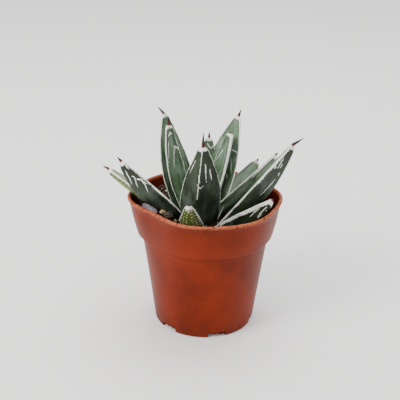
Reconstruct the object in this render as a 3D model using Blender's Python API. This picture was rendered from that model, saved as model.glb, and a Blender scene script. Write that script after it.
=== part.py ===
# Queen Victoria agave in a small round plastic nursery pot, at its real size.
# Metres, +Z up. The origin is the middle of the pot's flat base. The front is -Y.

from math import atan2, cos, hypot, pi, radians, sin

import bmesh
import bpy
from mathutils import Vector, noise
from mathutils.bvhtree import BVHTree

MM = 0.001

# Driving dimensions of the pot, in millimetres.
RIM_RADIUS = 42.5
POT_HEIGHT = 75.8
FOOT_RADIUS = 29.0
WALL_TOP_RADIUS = 35.8
WALL_TOP_HEIGHT = 54.4
COLLAR_FOOT_RADIUS = 38.4
COLLAR_FOOT_HEIGHT = 55.3
WALL = 1.1
FLOOR = 1.4
POT_SIDES = 56
SLOT_COUNT = 6
SLOT_WIDTH = 10.5
SLOT_HEIGHT = 3.0
SLOT_FIRST_ANGLE = -74.0

# The thin wall is pressed a little out of round at the rim: (waves round the rim, depth, phase).
SQUEEZE = ((2, 1.04, -46.0), (3, 0.74, 52.0), (4, 1.05, -2.0), (6, 0.85, 10.0))
SQUEEZE_FADE = 3

# Soil, stem and bud. The rosette stands a little to the left of the pot's middle.
GAP = 0.3
CROWN = (-4.5, 0.0)
SOIL_LEVEL = 62.8
SOIL_RISE = 7.5
SOIL_RISE_FROM = -6.0
SOIL_RISE_TO = -26.0
STEM_FOOT = 40.0
STEM_FOOT_RADIUS = 8.2
STEM_TOP = 72.0
STEM_TOP_RADIUS = 4.6
BUD_TIP = 95.0
BUD_RADIUS = 4.2

# Leaves, from the outermost and lowest to the innermost. Each stands in an upright plane through the stem.
# azimuth: the way it points, degrees from +X; reach, height: where its blade ends;
# foot: how high on the stem it starts; bend: degrees that it turns upwards on the way;
# half: half its greatest width; keel: how far the back stands out; channel: how far the edges rise;
# roll: turn about its own length; offset: sideways place of the keel, as a share of half; spine: its length;
# tilt: degrees that the spine leans out from the blade; tip: half the width of its blunt end, where not TIP_HALF;
# waist: how much of its width it keeps at the stem, where not 0.85.
LEAVES = {
    "leaf_01": dict(azimuth=-102, reach=23.0, height=78.8, foot=56.8, bend=54, half=6.7, keel=3.0,
                    channel=0.8, roll=9, offset=0.0, spine=1.4, tilt=0),
    "leaf_02": dict(azimuth=112, reach=32.0, height=80.0, foot=57.0, bend=15, half=9.0, keel=4.5,
                    channel=1.6, roll=0, offset=0.0, spine=4.0, tilt=5),
    "leaf_03": dict(azimuth=178, reach=50.3, height=89.6, foot=59.8, bend=2, half=10.2, keel=3.2,
                    channel=1.8, roll=10, offset=0.0, spine=4.5, tilt=8),
    "leaf_04": dict(azimuth=-24, reach=43.8, height=81.2, foot=51.5, bend=-4, half=9.7, keel=8.0,
                    channel=1.4, roll=-19, offset=0.0, spine=1.8, tilt=0),
    "leaf_05": dict(azimuth=34, reach=40.6, height=88.8, foot=57.0, bend=30, half=9.8, keel=5.0,
                    channel=1.6, roll=20, offset=0.0, spine=2.2, tilt=0),
    "leaf_06": dict(azimuth=-153, reach=45.8, height=102.9, foot=60.0, bend=-7, half=9.8, keel=8.3,
                    channel=1.6, roll=2, offset=0.0, spine=4.0, tilt=-6, waist=0.2),
    "leaf_07": dict(azimuth=-18.8, reach=51.9, height=112.5, foot=52.8, bend=0, half=10.8, keel=8.1,
                    channel=1.6, roll=2, offset=0.0, spine=8.5, tilt=16),
    "leaf_08": dict(azimuth=76, reach=22.0, height=102.8, foot=60.0, bend=20, half=7.0, keel=4.6,
                    channel=1.6, roll=12, offset=0.0, spine=4.0, tilt=0),
    "leaf_09": dict(azimuth=8, reach=43.0, height=98.6, foot=64.0, bend=3, half=8.5, keel=5.0,
                    channel=1.6, roll=-22, offset=0.0, spine=2.5, tilt=0),
    "leaf_10": dict(azimuth=-84.5, reach=23.0, height=112.4, foot=58.5, bend=20, half=11.2, keel=5.4,
                    channel=1.6, roll=3, offset=-0.28, spine=9.0, tilt=-4),
    "leaf_11": dict(azimuth=141, reach=26.0, height=117.8, foot=62.0, bend=16, half=11.0, keel=5.8,
                    channel=1.8, roll=-4, offset=0.0, spine=7.0, tilt=46),
    "leaf_12": dict(azimuth=40, reach=28.2, height=116.9, foot=62.4, bend=0, half=12.8, keel=5.6,
                    channel=1.8, roll=0, offset=0.0, spine=5.0, tilt=6),
    "leaf_13": dict(azimuth=160, reach=18.2, height=114.6, foot=66.4, bend=20, half=6.1, keel=4.0,
                    channel=1.4, roll=-26, offset=0.0, spine=5.5, tilt=0),
    "leaf_14": dict(azimuth=25, reach=18.8, height=110.0, foot=67.0, bend=2, half=7.8, keel=3.6,
                    channel=1.4, roll=0, offset=0.0, spine=1.4, tilt=0, tip=3.0),
}
BLADE_RINGS = 11
SECTION_POINTS = 12
TIP_HALF = 2.0
TIP_KEEL = 1.4
SPINE_RADIUS = 1.0

# What lies on the soil: place, turn, length, width, height.
SCRAPS = {
    "grey_stone": dict(place=(-31.6, -10.4), turn=-62, size=(8.0, 3.4, 2.2), finish="stone"),
    "dark_pebble": dict(place=(-19.5, -19.4), turn=20, size=(4.6, 3.8, 2.8), finish="stone"),
    "straw_chip": dict(place=(-24.2, -15.2), turn=62, size=(4.0, 2.0, 1.4), finish="straw"),
}

COLOURS = {
    "plastic": ((0.46, 0.11, 0.045, 1), 0.42),
    "soil": ((0.035, 0.022, 0.015, 1), 0.95),
    "leaf": ((0.06, 0.13, 0.075, 1), 0.5),
    "stem": ((0.25, 0.27, 0.14, 1), 0.7),
    "stone": ((0.22, 0.21, 0.2, 1), 0.85),
    "straw": ((0.55, 0.42, 0.22, 1), 0.85),
}


def clear_scene():
    for obj in list(bpy.data.objects):
        bpy.data.objects.remove(obj)


def material(name):
    found = bpy.data.materials.get(name)
    if found:
        return found
    colour, roughness = COLOURS[name]
    made = bpy.data.materials.new(name)
    made.use_nodes = True
    shader = made.node_tree.nodes["Principled BSDF"]
    shader.inputs["Base Color"].default_value = colour
    shader.inputs["Roughness"].default_value = roughness
    shader.inputs["Metallic"].default_value = 0.0
    return made


def object_from(name, bm, finish):
    mesh = bpy.data.meshes.new(name)
    bm.to_mesh(mesh)
    bm.free()
    mesh.materials.append(material(finish))
    mesh.shade_smooth()
    mesh.set_sharp_from_angle(angle=radians(35))
    obj = bpy.data.objects.new(name, mesh)
    bpy.context.scene.collection.objects.link(obj)
    return obj


def skin_rings(rings, start=None, end=None):
    """A closed solid over rings of equally many points, with a point or a flat cap at each end."""
    bm = bmesh.new()
    rows = [[bm.verts.new(Vector(p) * MM) for p in ring] for ring in rings]
    count = len(rows[0])
    for low, high in zip(rows, rows[1:]):
        for i in range(count):
            j = (i + 1) % count
            bm.faces.new((low[i], low[j], high[j], high[i]))
    for row, point, flip in ((rows[0], start, True), (rows[-1], end, False)):
        if point is None:
            bm.faces.new(row[::-1] if flip else row)
            continue
        peak = bm.verts.new(Vector(point) * MM)
        for i in range(count):
            j = (i + 1) % count
            bm.faces.new((row[j], row[i], peak) if flip else (row[i], row[j], peak))
    bmesh.ops.triangulate(bm, faces=bm.faces)
    bmesh.ops.recalc_face_normals(bm, faces=bm.faces)
    return bm


def squeezed(radius, angle, height):
    """The radius at this angle once the rim is pressed out of round, which fades out down the wall."""
    share = max(0.0, height / POT_HEIGHT) ** SQUEEZE_FADE
    wave = sum(depth * cos(waves * (angle - radians(phase))) for waves, depth, phase in SQUEEZE)
    return radius + wave * share


def round_ring(radius, height, sides=POT_SIDES):
    ring = []
    for i in range(sides):
        angle = 2 * pi * i / sides
        r = squeezed(radius, angle, height)
        ring.append((r * cos(angle), r * sin(angle), height))
    return ring


def pot_outside():
    """Outer profile from the foot over the crisp step under the collar to the rim, as (radius, height)."""
    return [
        (FOOT_RADIUS - 1.4, 0.0),
        (FOOT_RADIUS - 0.3, 0.5),
        (FOOT_RADIUS + 0.1, 1.6),
        (FOOT_RADIUS + 3.2, WALL_TOP_HEIGHT / 2),
        (WALL_TOP_RADIUS - 0.1, WALL_TOP_HEIGHT - 0.6),
        (WALL_TOP_RADIUS, WALL_TOP_HEIGHT),
        (COLLAR_FOOT_RADIUS - 0.4, WALL_TOP_HEIGHT + 0.2),
        (COLLAR_FOOT_RADIUS, COLLAR_FOOT_HEIGHT),
        (RIM_RADIUS - 2.0, (POT_HEIGHT + COLLAR_FOOT_HEIGHT) / 2),
        (RIM_RADIUS - 1.0, POT_HEIGHT - 2.4),
        (RIM_RADIUS - 0.2, POT_HEIGHT - 1.9),
        (RIM_RADIUS, POT_HEIGHT - 1.0),
        (RIM_RADIUS - 0.4, POT_HEIGHT),
    ]


def pot_inside(clear=0.0):
    """Inner profile from the floor up to the collar, one wall inside the outer one, with its step a wall higher."""
    top = WALL_TOP_HEIGHT + WALL
    return [
        (FOOT_RADIUS - WALL - 1.6 - clear, FLOOR + clear),
        (FOOT_RADIUS - WALL - 0.5 - clear, FLOOR + 0.9 + clear),
        (FOOT_RADIUS + 3.2 - WALL - clear, WALL_TOP_HEIGHT / 2),
        (WALL_TOP_RADIUS - WALL - clear, top - 0.4),
        (WALL_TOP_RADIUS - WALL + 0.2 - clear, top + clear),
        (COLLAR_FOOT_RADIUS - WALL - 0.2 - clear, top + 0.4 + clear),
        (COLLAR_FOOT_RADIUS - WALL + 0.1 - clear, top + 1.0 + clear),
    ]


def make_pot():
    inside = [*pot_inside(), (RIM_RADIUS - WALL - 1.2, POT_HEIGHT - 2.4), (RIM_RADIUS - 2.1, POT_HEIGHT - 0.8),
              (RIM_RADIUS - 1.5, POT_HEIGHT)]
    rings = [round_ring(r, z) for r, z in pot_outside() + inside[::-1]]
    pot = object_from("pot", skin_rings(rings, (0, 0, 0), (0, 0, FLOOR)), "plastic")
    for i in range(SLOT_COUNT):
        bpy.ops.mesh.primitive_cube_add(size=1)
        cutter = bpy.context.object
        cutter.name = f"slot_cutter_{i + 1}"
        angle = radians(SLOT_FIRST_ANGLE + 360 * i / SLOT_COUNT)
        cutter.scale = (12 * MM, SLOT_WIDTH * MM, 2 * SLOT_HEIGHT * MM)
        cutter.location = (FOOT_RADIUS * cos(angle) * MM, FOOT_RADIUS * sin(angle) * MM, 0)
        cutter.rotation_euler = (0, 0, angle)
        cut_away(pot, cutter)
    return pot


def only_largest(obj):
    """Drops the loose scraps that a cut leaves, and keeps the largest body."""
    bm = bmesh.new()
    bm.from_mesh(obj.data)
    bmesh.ops.remove_doubles(bm, verts=bm.verts, dist=0.004 * MM)
    bmesh.ops.dissolve_degenerate(bm, edges=bm.edges, dist=0.004 * MM)
    left = set(bm.verts)
    groups = []
    while left:
        group, front = set(), [left.pop()]
        while front:
            vert = front.pop()
            group.add(vert)
            for edge in vert.link_edges:
                other = edge.other_vert(vert)
                if other in left:
                    left.discard(other)
                    front.append(other)
        groups.append(group)
    groups.sort(key=len)
    for group in groups[:-1]:
        bmesh.ops.delete(bm, geom=list(group), context="VERTS")
    bmesh.ops.triangulate(bm, faces=bm.faces)
    bm.to_mesh(obj.data)
    bm.free()


def cut_away(obj, cutter):
    """Takes the cutter out of the object, keeps what is left in one body, and removes the cutter."""
    cut = obj.modifiers.new("cut", "BOOLEAN")
    cut.operation = "DIFFERENCE"
    cut.solver = "EXACT"
    cut.object = cutter
    bpy.context.view_layer.objects.active = obj
    bpy.ops.object.modifier_apply(modifier=cut.name)
    bpy.data.objects.remove(cutter)
    only_largest(obj)


def stem_radius(height):
    """The stem keeps its width up to the leaves and rounds in towards the bud."""
    t = min(max((height - STEM_FOOT) / (STEM_TOP - STEM_FOOT), 0), 1)
    return STEM_FOOT_RADIUS + (STEM_TOP_RADIUS - STEM_FOOT_RADIUS) * t ** 3


def crown_ring(radius, height, sides):
    """A level ring round the stem's own axis."""
    turns = [2 * pi * i / sides for i in range(sides)]
    return [(CROWN[0] + radius * cos(t), CROWN[1] + radius * sin(t), height) for t in turns]


def make_stem(grow=0.0, name="stem"):
    rings = []
    for z in (STEM_FOOT - grow, 54.0, 62.0, 67.0, 70.5, STEM_TOP + grow):
        rings.append(crown_ring(stem_radius(z) + grow, z, 18))
    return object_from(name, skin_rings(rings), "stem")


def make_bud(grow=0.0, name="bud"):
    """The unopened cone of the youngest leaves: three leaf edges wind round it as low ridges."""
    foot = STEM_TOP + GAP - grow
    length = BUD_TIP - foot
    rings = []
    for t in (0, 0.12, 0.3, 0.5, 0.68, 0.82, 0.92, 1.0):
        radius = BUD_RADIUS * (0.78 + 0.9 * t) if t < 0.25 else BUD_RADIUS * (1.05 - 0.82 * (t - 0.25) / 0.75)
        ring = []
        for i in range(15):
            angle = 2 * pi * i / 15
            ridge = 1 + 0.09 * cos(3 * angle - 2.6 * t)
            ring.append((CROWN[0] + (radius * ridge + grow) * cos(angle),
                         CROWN[1] + (radius * ridge + grow) * sin(angle), foot + length * t))
        rings.append(ring)
    return object_from(name, skin_rings(rings, end=(*CROWN, BUD_TIP + 4 + grow)), "leaf")


def leaf_path(leaf):
    """Foot, chord angle and length of the arc that the middle of the blade follows."""
    foot = (stem_radius(leaf["foot"]) + GAP, leaf["foot"])
    run, rise = leaf["reach"] - foot[0], leaf["height"] - foot[1]
    half_turn = radians(leaf["bend"]) / 2
    length = hypot(run, rise) * (half_turn / sin(half_turn) if half_turn else 1.0)
    return foot, atan2(rise, run), length


def blade_point(leaf, share):
    """Distance from the stem's axis, height and slope at this share of the blade's length."""
    foot, chord, length = leaf_path(leaf)
    turn = radians(leaf["bend"])
    reach, height = foot
    steps = 24
    for i in range(steps):
        slope = chord - turn / 2 + turn * share * (i + 0.5) / steps
        reach += length * share / steps * cos(slope)
        height += length * share / steps * sin(slope)
    return reach, height, chord - turn / 2 + turn * share


def blade_half(leaf, share):
    """Half the blade's width: a blunt tip, sides that bow out, widest below the middle, a narrower foot."""
    from_tip = min(1.0, (1 - share) / 0.62)
    tip, waist = leaf.get("tip", TIP_HALF), leaf.get("waist", 0.85)
    half = tip + (leaf["half"] - tip) * sin(pi / 2 * from_tip)
    return half * (waist + (1 - waist) * sin(pi / 2 * min(1.0, share / 0.3)))


def section(half, keel, channel, sharp, edge, offset):
    """Points round the blade's section: a hollowed upper face, and a back with a keel."""
    points = []
    for i in range(SECTION_POINTS):
        turn = 2 * pi * i / SECTION_POINTS
        across = cos(turn)
        side, up = half * across, channel * across * across + edge * sin(turn)
        if sin(turn) < -1e-6:
            up -= keel * (1 - abs(across) ** sharp)
            side += offset * half * (1 - across * across)
        points.append((side, up))
    return points


def make_leaf(name, leaf, grow=0.0):
    """The blade is a section carried along its arc, and its tip runs on into the spine."""
    azimuth, roll = radians(leaf["azimuth"]), radians(leaf["roll"])
    outward = Vector((cos(azimuth), sin(azimuth), 0))
    up = Vector((0, 0, 1))
    rings = []

    def place(reach, height, slope, points):
        side = Vector((-sin(azimuth), cos(azimuth), 0))
        face = up * cos(slope) - outward * sin(slope)
        side, face = side * cos(roll) + face * sin(roll), face * cos(roll) - side * sin(roll)
        centre = Vector((*CROWN, 0)) + outward * reach + up * height
        rings.append([centre + side * x + face * y for x, y in points])

    for i in range(BLADE_RINGS):
        share = i / (BLADE_RINGS - 1)
        reach, height, slope = blade_point(leaf, share)
        if i == 0:
            reach, height = reach - grow * cos(slope), height - grow * sin(slope)
        body = sin(pi / 2 * min(1.0, (1 - share) / 0.5))
        waist = leaf.get("waist", 0.85)
        deepen = min(1.0, share / (0.65 - 0.3 * waist))
        keel = (TIP_KEEL + (leaf["keel"] - TIP_KEEL) * body) * (0.7 * waist + (1 - 0.7 * waist) * deepen)
        sharp = 1.9 - 0.7 * min(1.0, share / 0.5)
        channel = leaf["channel"] * sin(pi * min(1.0, 0.12 + 0.88 * (1 - share)) * 0.5)
        points = section(blade_half(leaf, share) + grow, keel + grow * 0.5, channel, sharp,
                         0.9 + grow, leaf["offset"])
        place(reach, height, slope, points)
    reach, height, slope = blade_point(leaf, 1.0)
    slope -= radians(leaf["tilt"])
    for ahead, radius in ((0.9, SPINE_RADIUS), (leaf["spine"] * 0.5, SPINE_RADIUS * 0.62)):
        if ahead < leaf["spine"]:
            place(reach + ahead * cos(slope), height + ahead * sin(slope), slope,
                  section(radius + grow, 0, 0, 1, radius + grow, 0))
    tip = leaf["spine"] + grow
    peak = Vector((*CROWN, 0)) + outward * (reach + tip * cos(slope)) + up * (height + tip * sin(slope))
    return object_from(name, skin_rings(rings, end=peak), "leaf")


def make_rosette():
    """The stem, the bud and the leaves. Each outer leaf is cut clear of the ones inside it."""
    make_stem()
    make_bud()
    names = sorted(LEAVES, reverse=True)
    for i, name in enumerate(names):
        leaf = make_leaf(name, LEAVES[name])
        cut_away(leaf, make_stem(GAP, "cutter"))
        cut_away(leaf, make_bud(GAP, "cutter"))
        for inner in names[:i]:
            cut_away(leaf, make_leaf("cutter", LEAVES[inner], GAP))


def soil_height(x, y):
    """Crumbs and lumps of the potting mix, which is heaped up on the left."""
    heap = min(max((x - SOIL_RISE_FROM) / (SOIL_RISE_TO - SOIL_RISE_FROM), 0), 1)
    rise = SOIL_RISE * heap * heap * (3 - 2 * heap)
    lumps = 1.3 * noise.noise(Vector((x * 0.16, y * 0.16, 3.1)))
    crumbs = 0.9 * noise.noise(Vector((x * 0.5, y * 0.5, 9.7)))
    return SOIL_LEVEL + rise + lumps + crumbs


def leaf_undersides():
    """A function that gives the lowest height of any leaf near a place on the soil."""
    trees = []
    for name in LEAVES:
        bm = bmesh.new()
        bm.from_mesh(bpy.data.objects[name].data)
        trees.append(BVHTree.FromBMesh(bm))
        bm.free()

    def lowest(x, y, around):
        found = POT_HEIGHT * 2
        spots = [(x, y)]
        for reach in (around * 0.5, around):
            spots += [(x + reach * cos(pi * k / 5), y + reach * sin(pi * k / 5)) for k in range(10)]
        for px, py in spots:
            for tree in trees:
                hit = tree.ray_cast(Vector((px * MM, py * MM, 0)), Vector((0, 0, 1)))[0]
                if hit:
                    found = min(found, hit.z / MM)
        return found

    return lowest


def collar_inside(angle, height):
    """The radius of the collar's inner wall at this height, less the gap to the soil."""
    foot, top = COLLAR_FOOT_HEIGHT + 1.2, POT_HEIGHT - 2.4
    low, high = COLLAR_FOOT_RADIUS - WALL + 0.1, RIM_RADIUS - WALL - 1.2
    radius = low + (high - low) * (height - foot) / (top - foot)
    return squeezed(radius - 2 * GAP, angle, height)


def soil_rim(sides):
    """Where the mix meets the collar, each point at its own height."""
    ring = []
    for i in range(sides):
        angle = 2 * pi * i / sides
        x, y = COLLAR_FOOT_RADIUS * cos(angle), COLLAR_FOOT_RADIUS * sin(angle)
        height = soil_height(x, y) - 1.0
        radius = collar_inside(angle, height)
        ring.append((radius * cos(angle), radius * sin(angle), height))
    return ring


def make_soil():
    """The mix fills the pot, sinks to a bed under the lowest leaves, and has a plain hole for the stem."""
    sides = 72
    lowest = leaf_undersides()
    profile = pot_inside(2 * GAP)
    rings = [round_ring(radius, z, sides) for radius, z in profile]
    rim = soil_rim(sides)
    hole = STEM_FOOT_RADIUS + GAP
    for k in range(17):
        share = (k / 16) ** 0.9
        ring = []
        for (x0, y0, edge), (x1, y1, _) in zip(rim, crown_ring(hole, 0, sides)):
            x, y = x0 + (x1 - x0) * share, y0 + (y1 - y0) * share
            top = edge if k == 0 else soil_height(x, y)
            ring.append((x, y, min(top, lowest(x, y, 2.4) - 0.6)))
        rings.append(ring)
    rings.append(crown_ring(hole, STEM_FOOT - GAP, sides))
    foot, bed = (0, 0, FLOOR + 2 * GAP), (*CROWN, STEM_FOOT - GAP)
    return object_from("soil", skin_rings(rings, foot, bed), "soil")


def make_scraps(soil):
    """Loose bits that rest on the highest crumbs under them."""
    bm = bmesh.new()
    bm.from_mesh(soil.data)
    ground = BVHTree.FromBMesh(bm)
    bm.free()
    for index, (name, scrap) in enumerate(SCRAPS.items()):
        (x, y), turn, (length, width, height) = scrap["place"], radians(scrap["turn"]), scrap["size"]
        bm = bmesh.new()
        bmesh.ops.create_icosphere(bm, subdivisions=2, radius=0.5)
        for vert in bm.verts:
            lump = 1 + 0.16 * noise.noise(vert.co * 3.1 + Vector((index * 7.3, 0, 0)))
            flat = Vector((vert.co.x * length * lump, vert.co.y * width * lump, vert.co.z * height * lump))
            vert.co = Vector((x + flat.x * cos(turn) - flat.y * sin(turn),
                              y + flat.x * sin(turn) + flat.y * cos(turn), flat.z))
        lift = 0.0
        for vert in bm.verts:
            hit = ground.ray_cast(Vector((vert.co.x, vert.co.y, 120)) * MM, Vector((0, 0, -1)))[0]
            lift = max(lift, hit.z / MM - vert.co.z)
        for vert in bm.verts:
            vert.co = (vert.co + Vector((0, 0, lift + GAP))) * MM
        object_from(name, bm, scrap["finish"])


def main():
    clear_scene()
    make_pot()
    make_rosette()
    make_scraps(make_soil())


main()
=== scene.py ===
import math

import bpy
import numpy as np
from mathutils import Matrix, Vector


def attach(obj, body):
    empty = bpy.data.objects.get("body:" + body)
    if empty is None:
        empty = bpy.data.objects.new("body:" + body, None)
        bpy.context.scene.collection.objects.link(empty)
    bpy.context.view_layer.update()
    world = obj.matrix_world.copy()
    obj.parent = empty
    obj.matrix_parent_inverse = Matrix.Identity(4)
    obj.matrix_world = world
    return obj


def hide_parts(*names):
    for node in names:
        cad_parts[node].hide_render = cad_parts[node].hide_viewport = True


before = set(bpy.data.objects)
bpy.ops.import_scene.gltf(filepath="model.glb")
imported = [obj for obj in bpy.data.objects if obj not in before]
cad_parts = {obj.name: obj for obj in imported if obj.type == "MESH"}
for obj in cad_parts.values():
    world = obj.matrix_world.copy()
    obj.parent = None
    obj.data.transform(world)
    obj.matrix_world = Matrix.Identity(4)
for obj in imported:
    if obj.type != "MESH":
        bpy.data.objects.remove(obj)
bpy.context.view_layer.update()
mm = 0.001
print("frame loaded:", len(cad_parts), "solids")

# camera, floor and light
view = {"place": (0.00002, -0.41436, 0.24926), "down": 23.066, "turn": -0.492, "lean": 1.103, "lens": 71.66,
        "sensor": 36, "near": 0.01}


def makeCamera(v):
    # ahead: a unit vector from the turn and the look down; right and up are turned about it by the lean
    down, turn, lean = (math.radians(v[k]) for k in ("down", "turn", "lean"))
    ahead = Vector((math.sin(turn) * math.cos(down), math.cos(turn) * math.cos(down), -math.sin(down)))
    right = ahead.cross(Vector((0, 0, 1))).normalized()
    up = right.cross(ahead)
    r = right * math.cos(lean) + up * math.sin(lean)
    u = up * math.cos(lean) - right * math.sin(lean)
    camera = bpy.data.objects.new("camera", bpy.data.cameras.new("camera"))
    bpy.context.scene.collection.objects.link(camera)
    camera.matrix_world = Matrix(((r.x, u.x, -ahead.x, v["place"][0]), (r.y, u.y, -ahead.y, v["place"][1]),
                                  (r.z, u.z, -ahead.z, v["place"][2]), (0, 0, 0, 1)))
    camera.data.lens = v["lens"]
    camera.data.sensor_width = v["sensor"]
    camera.data.clip_start = v["near"]
    bpy.context.scene.camera = camera


makeCamera(view)


def linear(code):
    # sRGB hex code to linear colour
    parts = [int(code[i:i + 2], 16) / 255 for i in (0, 2, 4)]
    return tuple(p / 12.92 if p <= 0.04045 else ((p + 0.055) / 1.055) ** 2.4 for p in parts) + (1.0,)


class Number:
    # a socket that arithmetic can be written on; each operation adds its Math node
    def __init__(self, maker, socket):
        self.maker = maker
        self.socket = socket

    def work(self, operation, a, b):
        node = self.maker.node("ShaderNodeMath", {"operation": operation}, {0: a, 1: b})
        return Number(self.maker, node.outputs[0])

    def __add__(self, other):
        return self.work("ADD", self, other)

    __radd__ = __add__

    def __mul__(self, other):
        return self.work("MULTIPLY", self, other)

    __rmul__ = __mul__

    def __sub__(self, other):
        return self.work("SUBTRACT", self, other)

    def __rsub__(self, other):
        return self.work("SUBTRACT", other, self)

    def __truediv__(self, other):
        return self.work("DIVIDE", self, other)

    def most(self, other):
        return self.work("MAXIMUM", self, other)

    def step(self, low, high):
        # smooth rise from 0 at low to 1 at high
        node = self.maker.node("ShaderNodeMapRange", {"interpolation_type": "SMOOTHSTEP"},
                               {"Value": self, "From Min": min(low, high), "From Max": max(low, high),
                                "To Min": 0.0 if low < high else 1.0, "To Max": 1.0 if low < high else 0.0})
        return Number(self.maker, node.outputs[0])


class Finish:
    def __init__(self, name, roughness=0.5, **fixed):
        self.material = bpy.data.materials.new(name)
        self.material.use_nodes = True
        self.tree = self.material.node_tree
        self.shader = self.tree.nodes["Principled BSDF"]
        self.shader.inputs["Roughness"].default_value = roughness
        for socket, value in fixed.items():
            self.shader.inputs[socket.replace("_", " ")].default_value = value

    def node(self, kind, settings=None, inputs=None):
        # settings first, then the values or links of the sockets
        made = self.tree.nodes.new(kind)
        for key, value in (settings or {}).items():
            if key == "stops":
                while len(made.color_ramp.elements) < len(value):
                    made.color_ramp.elements.new(0.5)
                for element, (place, colour) in zip(made.color_ramp.elements, value):
                    element.position = place
                    element.color = colour
            else:
                setattr(made, key, value)
        for key, value in (inputs or {}).items():
            if isinstance(value, Number):
                self.tree.links.new(value.socket, made.inputs[key])
            else:
                made.inputs[key].default_value = value
        return made

    def out(self, kind, settings=None, inputs=None, output=0):
        return Number(self, self.node(kind, settings, inputs).outputs[output])

    def place(self, scale=(1, 1, 1), move=(0, 0, 0)):
        # Object coordinates in millimetres
        where = self.out("ShaderNodeTexCoord", output=3)
        return self.out("ShaderNodeMapping", None, {"Vector": where, "Location": move,
                                                    "Scale": tuple(s / mm for s in scale)})

    def read(self, name):
        return self.out("ShaderNodeAttribute", {"attribute_name": name}, output=2)

    def together(self, x, y, z=0.0):
        return self.out("ShaderNodeCombineXYZ", None, {0: x, 1: y, 2: z})

    def noise(self, where, scale, detail=3.0, rough=0.55):
        return self.out("ShaderNodeTexNoise", None, {"Vector": where, "Scale": scale, "Detail": detail,
                                                     "Roughness": rough})

    def cells(self, where, scale):
        return self.out("ShaderNodeTexVoronoi", None, {"Vector": where, "Scale": scale})

    def mix(self, factor, a, b):
        return self.out("ShaderNodeMix", {"data_type": "RGBA"}, {0: factor, 6: a, 7: b}, output=2)

    def ramp(self, factor, stops):
        return self.out("ShaderNodeValToRGB", {"stops": stops}, {0: factor})

    def finish(self, colour=None, roughness=None, height=None, strength=0.5, distance=0.0003):
        for socket, value in (("Base Color", colour), ("Roughness", roughness)):
            if isinstance(value, Number):
                self.tree.links.new(value.socket, self.shader.inputs[socket])
            elif value is not None:
                self.shader.inputs[socket].default_value = value
        if height is not None:
            bump = self.out("ShaderNodeBump", None, {"Strength": strength, "Distance": distance,
                                                     "Height": height})
            self.tree.links.new(bump.socket, self.shader.inputs["Normal"])
        return self.material


room = {
    "floor": "f4f3f1", "floorHalf": 4, "sky": 1.35, "aim": (0, 0, 0.06),
    "lamps": {
        "keyLamp": {"place": (-0.75, -0.55, 0.75), "power": 11.0, "size": 0.45, "colour": (1.0, 0.98, 0.95)},
        "topLamp": {"place": (0.1, 0.35, 0.95), "power": 6.0, "size": 0.7, "colour": (0.97, 0.99, 1.0)},
    },
}


def makeRoom(v):
    # a flat square floor, an even white sky and square lamps aimed at the middle of the plant
    floorFinish = Finish("floor", 0.7)
    floorFinish.finish(linear(v["floor"]), 0.75 + 0.1 * floorFinish.noise(floorFinish.place(), 0.02))
    side = np.array([-1.0, 1.0])
    x, y = (g.ravel() * v["floorHalf"] for g in np.meshgrid(side, side))
    floor = meshPiece("floor", np.stack([x, y, 0 * x], 1), [(0, 1, 3, 2)], floorFinish.material)
    world = bpy.data.worlds.new("studio")
    bpy.context.scene.world = world
    world.use_nodes = True
    world.node_tree.nodes["Background"].inputs[0].default_value = (1.0, 1.0, 1.0, 1)
    world.node_tree.nodes["Background"].inputs[1].default_value = v["sky"]
    for name, spot in v["lamps"].items():
        lamp = bpy.data.lights.new(name, "AREA")
        lamp.energy, lamp.size, lamp.color = spot["power"], spot["size"], spot["colour"]
        obj = bpy.data.objects.new(name, lamp)
        obj.location = spot["place"]
        aim = Vector(v["aim"]) - Vector(spot["place"])
        obj.rotation_euler = aim.to_track_quat("-Z", "Y").to_euler()
        bpy.context.scene.collection.objects.link(obj)


# shapes
def meshPiece(name, points, faces, finish, values=None):
    # points in metres, faces as index rows; values are floats per point for the finish to read
    mesh = bpy.data.meshes.new(name)
    mesh.from_pydata(np.asarray(points, float).tolist(), [], [list(map(int, f)) for f in faces])
    mesh.polygons.foreach_set("use_smooth", np.ones(len(mesh.polygons), bool))
    for key, numbers in (values or {}).items():
        layer = mesh.attributes.new(key, "FLOAT", "POINT")
        layer.data.foreach_set("value", np.asarray(numbers, np.float32).ravel())
    mesh.materials.append(finish)
    mesh.update()
    piece = bpy.data.objects.new(name, mesh)
    bpy.context.scene.collection.objects.link(piece)
    return piece


def gridFaces(rows, around):
    # quads between neighbouring rings of points, each ring closed on itself
    i, j = np.meshgrid(np.arange(rows - 1), np.arange(around), indexing="ij")
    k = (j + 1) % around
    quads = np.stack([i * around + j, i * around + k, (i + 1) * around + k, (i + 1) * around + j], -1)
    return quads.reshape(-1, 4)


def ringsToSolid(rings):
    # rings (rows, around, 3): the surface over them, closed by the middle of its first and last ring
    rows, around = rings.shape[:2]
    ends = np.stack([rings[0].mean(0), rings[-1].mean(0)])
    points = np.concatenate([rings.reshape(-1, 3), ends])
    j = np.arange(around)
    k = (j + 1) % around
    last, low, high = (rows - 1) * around, rows * around, rows * around + 1
    faces = gridFaces(rows, around).tolist()
    faces += np.stack([k, j, 0 * j + low], 1).tolist()
    faces += np.stack([last + j, last + k, 0 * j + high], 1).tolist()
    return points, faces


def joined(parts):
    # many closed shapes, each points and faces, as one list of points and faces
    points, faces, count = [], [], 0
    for part, rows in parts:
        points.append(part)
        faces += [[i + count for i in row] for row in rows]
        count += len(part)
    return np.concatenate(points), faces


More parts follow.
